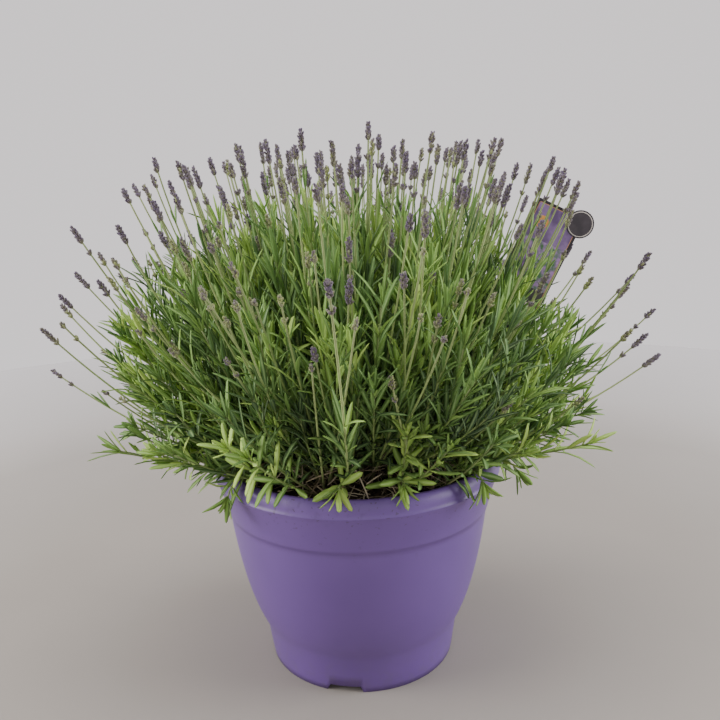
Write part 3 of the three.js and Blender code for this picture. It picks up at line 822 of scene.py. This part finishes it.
def add_leaf(shoot, place, turn, spread, length, width, bend, tint, spoon):
    tangent = shoot.tangent(place)
    side = shoot.across(place, turn)
    angle = radians(spread)
    heading = tangent * cos(angle) + side * sin(angle)
    face = tangent * sin(angle) - side * cos(angle)
    heading = unit(heading + UPWARD * (0.05 if spoon else 0.28))
    face = unit(face - heading * (face @ heading))
    root = shoot.at(place) + side * STALK_RADIUS * 0.5
    if not misplaced(root + length * (heading - face * bend / 2)):
        kind = blade_kind(root, length, spoon)
        shoot.clump.leaves[kind].append((root, heading, face, length, width, bend, tint))


def dress(shoot, start, stop, leafage, tint, longer=1.0, wider=1.0):
    """Opposite pairs of leaves along a shoot, each turned a quarter round, with small axil leaves."""
    lengths = np.array(leafage["lengths"]) * longer
    spreads = np.array(leafage["spreads"]) * wider
    spoon = leafage["spoon"]
    turn = rng.uniform(0, pi)
    place = start
    while place < stop:
        share = (place - start) / max(stop - start, 1e-6)
        length = np.interp(share, (0, 0.5, 1), lengths)
        spread = np.interp(share, (0, 0.5, 1), spreads)
        width = np.interp(share, (0, 1), leafage["widths"])
        for side in (0, pi):
            tone = tint + rng.normal(0, LEAF_TONE_SPREAD) + 0.20 * (share - 0.4)
            bend = radians(rng.normal(*LEAF_BEND))
            add_leaf(shoot, place, turn + side + rng.normal(0, 0.22), spread * rng.uniform(0.7, 1.3),
                     length * rng.uniform(0.75, 1.2), width * rng.uniform(0.8, 1.2), bend, tone, spoon)
            for _ in range(rng.poisson(leafage["axil"])):
                add_leaf(shoot, place + 0.001, turn + side + rng.normal(0, 0.7), rng.uniform(14, 46),
                         length * rng.uniform(0.3, 0.62), width * rng.uniform(0.5, 0.75), bend * 0.6,
                         tone + 0.10, spoon)
        turn += pi / 2 + rng.normal(0, 0.15)
        place += leafage["gap"] * rng.uniform(0.75, 1.25)


def tuft(shoot, leafage, tint, longer=1.0):
    """The young leaves close together at a shoot's tip."""
    leaves, length, width = leafage["tip"]
    turn = rng.uniform(0, pi)
    for i in range(leaves):
        share = i / (leaves - 1)
        place = shoot.length - 0.004 * (1 - share)
        size = length * longer * (1 - 0.55 * share) * rng.uniform(0.85, 1.15)
        spread = 34 * (1 - share) + 6 + rng.normal(0, 4)
        bend = radians(rng.normal(16, 10))
        add_leaf(shoot, place, turn + i * pi / 2 + (i % 2) * pi, spread, size,
                 width * (1 - 0.4 * share), bend, tint + 0.16 * share, leafage["spoon"])


def root_place(towards, share):
    """Where a shoot that heads a given way leaves the soil."""
    level = hypot(towards[0], towards[1])
    radius = 0.116 * level * share + 0.006
    azimuth = atan2(towards[1], towards[0]) + rng.normal(0, 0.25)
    return np.array([radius * cos(azimuth), radius * sin(azimuth), soil_height(radius) - 0.004])


def shoot_path(root, end, steps):
    """A path that leaves the root outwards and turns up towards its end."""
    chord = end - root
    length = np.linalg.norm(chord)
    level = np.array([chord[0], chord[1], 0.0]) / length
    sag = SHOOT_SAG * length * np.linalg.norm(level)
    middle = root + chord * 0.5 + level * SHOOT_BULGE * length - UPWARD * sag
    middle += rng.normal(0, 0.02, 3) * length * 0.6
    middle[2] = max(middle[2], root[2] + 0.012 + 0.25 * abs(chord[2]))
    return bezier(root, middle, end, steps)


def add_stem(shoot, low_radius, high_radius, tint, woody):
    """A stem, brown and woody near the soil and green above."""
    share = np.linspace(0, 1, len(shoot.path))
    radii = low_radius + (high_radius - low_radius) * share**0.7
    wood = np.clip(1 - shoot.marks / woody, 0, 1)
    shoot.clump.stems.append((shoot.path, radii, np.stack([np.full_like(share, tint), wood, share], axis=1)))


def bare_foot(towards):
    """Length of a shoot's leafless foot: longer in the bush's shaded middle and over the front rim."""
    foot = np.interp(height_angle(towards), (25, 50), (0.032, 0.095))
    return max(foot, 0.048) if towards[1] < -0.5 else foot


def grassy(towards):
    """How much longer the leaves are on a shoot in the upright middle of the bush."""
    return np.interp(height_angle(towards), (28, 50), (1.0, 1.32))


def open_leaves(towards):
    """How much wider the leaves stand off a shoot low down in the bush."""
    return np.interp(height_angle(towards), (22, 48), (1.55, 1.0))


def flowering_shoot(towards, reach, ripe, whorls, lower_whorl):
    """A leafy stem whose bare upper stalk bears a spike of buds, and now and then a pair of leaves."""
    end = BUSH_BASE + towards * reach
    root = root_place(towards, rng.uniform(0.55, 1.0))
    shoot = Shoot(clump_of(towards), shoot_path(root, end, 13))
    add_stem(shoot, 0.0013, STALK_RADIUS, rng.uniform(0.40, 0.85), 0.05)
    bare = rng.uniform(*BARE_STALKS) + 2 * max(0, reach - LONG_STALK_REACH)
    dress(shoot, bare_foot(towards), shoot.length - bare, FLOWERING, rng.normal(0.50, 0.16),
          grassy(towards), open_leaves(towards))
    if rng.random() < 0.35:
        for side in (0, pi):
            turn = side + rng.normal(0, 0.3)
            add_leaf(shoot, shoot.length - bare * 0.55, turn, rng.uniform(14, 34), rng.uniform(0.014, 0.030),
                     0.0024, 0.15, 0.5, False)
    shoot.clump.spikes.append((shoot, ripe, whorls, lower_whorl))


def leafy_shoot(towards, reach, leafage, bright=0.0):
    """A shoot without a flower, in leaf up to its tip."""
    end = BUSH_BASE + towards * reach
    root = root_place(towards, rng.uniform(0.5, 1.0))
    shoot = Shoot(clump_of(towards), shoot_path(root, end, 9))
    add_stem(shoot, 0.0014, 0.0007, rng.uniform(0.3, 0.65), 0.07)
    tint = rng.normal(0.49, 0.15) + bright
    start = min(bare_foot(towards), shoot.length * 0.38)
    longer, wider = (1.0, 1.0) if leafage["spoon"] else (grassy(towards), open_leaves(towards))
    dress(shoot, start, shoot.length - 0.004, leafage, tint, longer, wider)
    tuft(shoot, leafage, tint, longer)


def rim_sprig(azimuth, outward, drop, bright):
    """A short leafy shoot that leans over the pot's rim."""
    around = direction(azimuth, 0)
    root = around * rng.uniform(0.080, 0.105) + UPWARD * (soil_height(0.1) - 0.003)
    over = around * (LIP_RADIUS + 0.004) + UPWARD * (POT_HEIGHT + 0.026)
    end = around * (LIP_RADIUS + outward) + UPWARD * (POT_HEIGHT - drop)
    shoot = Shoot(clump_of(around), bezier(root, over, end, 9))
    add_stem(shoot, 0.0015, 0.0008, 0.55, 0.03)
    dress(shoot, shoot.length * 0.34, shoot.length - 0.003, OVER_RIM, 0.5 + bright)
    tuft(shoot, OVER_RIM, 0.60 + bright)


def spike_buds(shoot, ripe, whorls, lower_whorl):
    """The buds of a spike: whorls of seven or eight calyces round the stalk's end, and five at its tip."""
    top = shoot.length
    tangent = shoot.tangent(top)
    places = [top - WHORL_GAP * (i + 0.35) for i in range(whorls)]
    if lower_whorl:
        places.append(top - WHORL_GAP * whorls - rng.uniform(0.008, 0.014))
    for index, place in enumerate(places):
        tapered = (0.72, 0.9, 1.0)[min(index, 2)]
        count = rng.integers(7, 9) if index else 5
        turn = rng.uniform(0, 2 * pi)
        for k in range(count):
            side = shoot.across(top, turn + 2 * pi * k / count + rng.normal(0, 0.16))
            lean = radians(rng.normal(23 if index else 12, 6))
            axis = unit(tangent * cos(lean) + side * sin(lean))
            root = shoot.at(place) + side * 0.0005 - tangent * rng.uniform(0.0008, 0.0024)
            size = (0.0046 + 0.0009 * ripe) * tapered * rng.uniform(0.80, 1.20)
            girth = (0.00082 + 0.00020 * ripe) * rng.uniform(0.82, 1.18)
            tone = np.clip(ripe + 0.16 - 0.34 * index / len(places) + rng.normal(0, 0.22), 0, 1)
            yield root, axis, size, girth, (tone, rng.random())


def clump_pieces(node, clump, leaf_look, stem_look, flower_look):
    """Makes one clump's three meshes, which stand for its solid."""
    leaves = Batch()
    for kind, rows in clump.leaves.items():
        if rows:
            blades(leaves, BLADES[kind], *columns(rows))
    stems = Batch()
    for path, radii, values in clump.stems:
        tubes(stems, path[None], radii[None], STEM_SIDES, values[None])
    flowers = Batch()
    buds(flowers, CALYX, *columns([bud for spike in clump.spikes for bud in spike_buds(*spike)]))
    finish_piece(mesh_object(f"{node}_leaves", leaves, leaf_look), "foliage", node)
    finish_piece(mesh_object(f"{node}_stems", stems, stem_look), "stems", node)
    finish_piece(mesh_object(f"{node}_flowers", flowers, flower_look), "flowers", node)


def spread_directions(count, lowest, highest):
    """Directions spread evenly over a band of the sphere, each moved a little."""
    golden = pi * (3 - sqrt(5))
    low = sin(radians(lowest))
    high = sin(radians(highest))
    for i in range(count):
        rise = low + (high - low) * (i + rng.uniform(0.1, 0.9)) / count
        azimuth = i * golden + rng.normal(0, 0.15)
        level = sqrt(max(1 - rise**2, 0))
        yield np.array([level * cos(azimuth), level * sin(azimuth), rise])


def flower_reach(towards):
    """How far from the bush's base a flower stands: most stand close under the bush's outline."""
    reach = np.interp(height_angle(towards), REACH_HEIGHTS, FLOWER_REACHES)
    reach -= min(rng.exponential(FLOWER_REACH_SPREAD), 4 * FLOWER_REACH_SPREAD)
    if towards[1] < -0.4:
        reach *= 0.95
    widest = max(abs(towards[0]), abs(towards[1]), 1e-6)
    return min(reach, (BUSH_HALF_WIDTH - 0.006) / widest)


def leaf_reach(towards, least, most):
    """How far from the bush's base a leafy shoot reaches, drawn between two shares of the farthest."""
    low = np.interp(height_angle(towards), (35, 60), (1, 0))
    widening = 1 + (SIDE_WIDENING - 1) * low * np.interp(away_from_front(towards), (0.5, 0.9), (0, 1))
    reach = np.interp(height_angle(towards), REACH_HEIGHTS, LEAF_REACHES) * widening
    return reach * rng.uniform(least, most)


def away_from_front(towards):
    """0 for a direction to the front, rising to 1 at the sides and all round the back."""
    level = hypot(towards[0], towards[1])
    return abs(towards[0]) / max(level, 1e-6) if towards[1] < 0 else 1.0


def before_label(towards):
    """True where the shoots part in front of the label."""
    return direction(*LABEL_GAP) @ towards > cos(radians(LABEL_GAP_ANGLE))


def over_straw(towards):
    """True low down at the front, where the foliage opens on the straw between the stems' feet."""
    first, last = STRAW_GAP_AZIMUTHS
    return height_angle(towards) < STRAW_GAP_HEIGHT and first < azimuth_angle(towards) % 360 < last


def lifted(towards, at_sides, at_front):
    """A direction raised clear of the rim, more at the front than at the sides and the back."""
    lowest = at_front + (at_sides - at_front) * away_from_front(towards)
    return direction(azimuth_angle(towards), lowest + (90 - lowest) * height_angle(towards) / 90)


def ripe_spike(towards):
    """A flower's ripeness and whorls: riper and longer high up, greener on the bush's lower front."""
    height = height_angle(towards)
    share = np.interp(height, (25, 50), (0.50, 0.80))
    if towards[1] < -0.35:
        share *= np.interp(height, (45, 62), (0.22, 1.0))
    if rng.random() < share:
        return rng.uniform(0.55, 1.0), rng.integers(4, 7)
    return rng.uniform(0.0, 0.5), rng.integers(2, 5)


def grow_flowers():
    """The flowers in their bands, fewer before the label and the lowest ones raised at the front."""
    for band in FLOWER_BANDS:
        for towards in spread_directions(*band):
            if before_label(towards) and rng.random() < 0.5:
                continue
            if band is FLOWER_BANDS[-1] and away_from_front(towards) < 0.6:
                towards = direction(azimuth_angle(towards), height_angle(towards) + FRONT_FLOWER_LIFT)
            ripe, whorls = ripe_spike(towards)
            reach = flower_reach(towards) - (0.0 if ripe > 0.5 else rng.uniform(0, 0.07))
            flowering_shoot(towards, reach, ripe, whorls, rng.random() < 0.25)
    for outermost in OUTERMOST_FLOWERS:
        towards = direction(*outermost)
        reach = (BUSH_HALF_WIDTH - 0.008) / max(abs(towards[0]), abs(towards[1]))
        flowering_shoot(towards, reach, 0.8, 4, True)


def grow_leafy_shoots():
    """Leafy shoots all over, more of them at the low sides, then rosettes low down and inside; the low
    shoots get lighter leaves, as painted light against the bush's own shade.
    """
    for towards in spread_directions(212, 12, 88):
        if not before_label(towards):
            leafy_shoot(lifted(towards, 7, 18), leaf_reach(towards, 0.76, 1.03), LEAFY)
    for towards in spread_directions(72, 9, 38):
        if away_from_front(towards) > 0.75:
            # Painted light: these low side shoots get lighter leaves to make up for the bush's shade over
            # them
            leafy_shoot(towards, leaf_reach(towards, 0.86, 1.03), LEAFY, bright=0.16)
    for towards in spread_directions(90, 0, 50):
        raised = lifted(towards, 3, 27)
        if not over_straw(raised):
            # Painted light: the low rosettes get lighter leaves against the shade under the bush
            leafy_shoot(raised, leaf_reach(towards, 0.5, 0.88), ROSETTE, bright=0.10)
    for towards in spread_directions(44, 8, 70):
        leafy_shoot(lifted(towards, 6, 32), leaf_reach(towards, 0.35, 0.6), ROSETTE, bright=-0.1)
    for towards in spread_directions(38, 2, 12):
        raised = lifted(towards, 5, 20)
        if not over_straw(raised):
            # Painted light: the lowest rosettes get lighter leaves against the shade under the bush
            leafy_shoot(raised, leaf_reach(towards, 0.76, 0.98), ROSETTE, bright=0.16)


def grow_rim_sprigs():
    """Sprigs round the rim, but for its open front, and the few that are listed one by one."""
    for i in range(RIM_SPRIGS):
        azimuth = i * 360 / RIM_SPRIGS + rng.normal(0, 4)
        if not OPEN_RIM_AZIMUTHS[0] < azimuth < OPEN_RIM_AZIMUTHS[1]:
            rim_sprig(azimuth, rng.uniform(-0.01, 0.02), rng.uniform(-0.03, 0.006), rng.uniform(-0.2, 0.1))
    for sprig in OVERHANGING_SPRIGS:
        rim_sprig(*sprig)


# Label

def label_point(across, rise, out):
    """A point on the label: across its width, up from the soil along it, and out from its middle plane."""
    lean = radians(LABEL_LEAN)
    x = LABEL_FOOT[0] + across * cos(lean) + rise * sin(lean)
    z = LABEL_FOOT[2] - across * sin(lean) + rise * cos(lean)
    return (x, LABEL_FOOT[1] - out, z)


def rounded_outline(points, radius):
    corners = [np.array(point) for point in points]
    rounded = []
    for i, corner in enumerate(corners):
        before = corners[i - 1] - corner
        after = corners[(i + 1) % len(corners)] - corner
        cut = min(radius, np.linalg.norm(before) / 2, np.linalg.norm(after) / 2)
        rounded += list(bezier(corner + unit(before) * cut, corner, corner + unit(after) * cut, 6))
    return rounded


def box_outline(left, right, low, high):
    return [(left, low), (right, low), (right, high), (left, high)]


def circle_outline(centre, radius):
    return [np.array(centre) + radius * direction(azimuth, 0)[:2] for azimuth in np.arange(0, 360, 7.5)]


def label_plate(name, outline, low, high, material, *nodes):
    """A flat part of the label between two distances from its middle plane, as a closed prism."""
    count = len(outline)
    points = [label_point(across, rise, out) for out in (low, high) for across, rise in outline]
    faces = [list(range(count)), list(range(2 * count - 1, count - 1, -1))]
    for i in range(count):
        after = (i + 1) % count
        faces.append([after, i, i + count, after + count])
    mesh = bpy.data.meshes.new(name)
    mesh.from_pydata(points, [], faces)
    mesh.validate()
    mesh.update()
    finish_piece(link_object(name, mesh, material), "label_plastic", *nodes)


def print_on(name, outline, layer, material):
    """A plain printed shape on the label's face; each layer lies a little over the last."""
    face = LABEL_THICKNESS / 2
    label_plate(name, outline, face, face + layer * PRINT_LAYER, material)


def plant_label():
    """The label: a dark plate on a stake, with plain bands of colour on its front and a round disc."""
    looks = {name: print_material(f"label_{name}", *tones) for name, tones in PRINTS.items()}
    half = LABEL_WIDTH / 2
    low = LABEL_REACH - LABEL_LENGTH
    stake = LABEL_STAKE / 2
    face = LABEL_THICKNESS / 2
    right_edge = [(0, -LABEL_DEPTH - stake), (stake, -LABEL_DEPTH), (stake, low - LABEL_TAPER), (half, low)]
    right_edge.append((half, LABEL_REACH))
    left_edge = [(-across, rise) for across, rise in right_edge[:0:-1]]
    plate = rounded_outline(right_edge + left_edge, 0.003)
    label_plate("plant_label_plate", plate, -face, face, looks["border"], "plant_label")
    frame = box_outline(LINE_INSET - half, half - LINE_INSET, low + LINE_INSET, LABEL_REACH - LINE_INSET)
    print_on("label_line_frame", rounded_outline(frame, 0.002), 1, looks["line"])
    right = half - BAND_INSET
    sky_top = LABEL_REACH - BAND_INSET
    field_top = sky_top - SKY_HEIGHT
    foot_top = field_top - FIELD_HEIGHT
    print_on("label_sky", box_outline(-right, right, field_top, sky_top), 2, looks["heather"])
    print_on("label_field", box_outline(-right, right, foot_top, field_top), 2, looks["meadow"])
    print_on("label_foot", box_outline(-right, right, low + BAND_INSET, foot_top), 2, looks["dusk"])
    sun_centre = (SUN_PLACE[0], sky_top - SUN_PLACE[1])
    print_on("label_sun", circle_outline(sun_centre, SUN_RADIUS), 3, looks["amber"])
    for number in (1, 2, 3):
        left = SQUARE_STEP * (number - 2) - SQUARE_SIZE / 2
        square = box_outline(left, left + SQUARE_SIZE, low + 0.010, low + 0.010 + SQUARE_SIZE)
        print_on(f"label_square_{number}", square, 3, looks["pale"])
    centre = (half - 0.002, LABEL_REACH - 0.007)
    disc = circle_outline(centre, LABEL_DISC_RADIUS)
    label_plate("label_disc", disc, -face, face + 4 * PRINT_LAYER, looks["border"])
    print_on("label_disc_ring", circle_outline(centre, LABEL_DISC_RADIUS * 0.90), 5, looks["pale"])
    print_on("label_disc_middle", circle_outline(centre, LABEL_DISC_RADIUS * 0.84), 6, looks["dusk"])


# Stage

def make_stage():
    rim = [STAGE_RADIUS * direction(360 * i / STAGE_SEGMENTS, 0) for i in range(STAGE_SEGMENTS)]
    faces = [(STAGE_SEGMENTS, i, (i + 1) % STAGE_SEGMENTS) for i in range(STAGE_SEGMENTS)]
    batch = Batch()
    batch.add(np.array([*rim, (0, 0, 0)]), np.array(faces), np.zeros(3))
    floor = mesh_object("floor", batch, floor_material())


def area_light(name, place, size, power, colour):
    light = bpy.data.lights.new(name, "AREA")
    light.shape = "DISK"
    light.size = size
    light.energy = power
    light.color = colour
    lamp = bpy.data.objects.new(name, light)
    lamp.location = place
    lamp.rotation_mode = "QUATERNION"
    lamp.rotation_quaternion = (LIT_POINT - Vector(place)).to_track_quat("-Z", "Y")
    bpy.context.scene.collection.objects.link(lamp)


def make_lights():
    """Softboxes round the plant, in a pale room that is brighter behind it than before it."""
    world = bpy.data.worlds.new("pale_room")
    world.use_nodes = True
    tree = world.node_tree
    background = tree.nodes["Background"]
    sight = add_node(tree, "TexCoord").outputs["Generated"]
    away = add_node(tree, "SeparateXYZ", Vector=sight).outputs["Y"]
    depth = maths(tree, "MULTIPLY", maths(tree, "ADD", away, 1.0), 0.5)
    tree.links.new(ramp(tree, depth, WALL_TONES), background.inputs["Color"])
    background.inputs["Strength"].default_value = WALL_STRENGTH
    bpy.context.scene.world = world
    for name, settings in SOFTBOXES.items():
        area_light(name, *settings)


def make_camera():
    pitch = radians(CAMERA_PITCH)
    roll = radians(CAMERA_ROLL)
    forward = Vector((0, cos(pitch), -sin(pitch)))
    overhead = Vector((0, sin(pitch), cos(pitch)))
    level = Vector((1, 0, 0))
    right = level * cos(roll) - overhead * sin(roll)
    upward = level * sin(roll) + overhead * cos(roll)
    data = bpy.data.cameras.new("camera")
    data.lens = CAMERA_LENS
    data.sensor_width = 36
    camera = bpy.data.objects.new("camera", data)
    turned = Matrix((right, upward, -forward)).transposed()
    camera.matrix_world = Matrix.Translation(CAMERA_PLACE) @ turned.to_4x4()
    bpy.context.scene.collection.objects.link(camera)
    bpy.context.scene.camera = camera


make_camera()
make_stage()
make_lights()
finish_piece(pot_shell(pot_material()), "pot_plastic", "pot")
finish_piece(soil_bed(soil_material()), "soil", "potting_soil")
finish_piece(litter(straw_material()), "straw")
clumps = [Clump() for _ in range(OUTER_CLUMPS + 1)]
grow_flowers()
grow_leafy_shoots()
grow_rim_sprigs()
plant_looks = (leaf_material(), stem_material(), flower_material())
nodes = ["lavender_centre", *(f"lavender_clump_{number}" for number in range(1, OUTER_CLUMPS + 1))]
for clump_node, gathered in zip(nodes, clumps):
    clump_pieces(clump_node, gathered, *plant_looks)
plant_label()
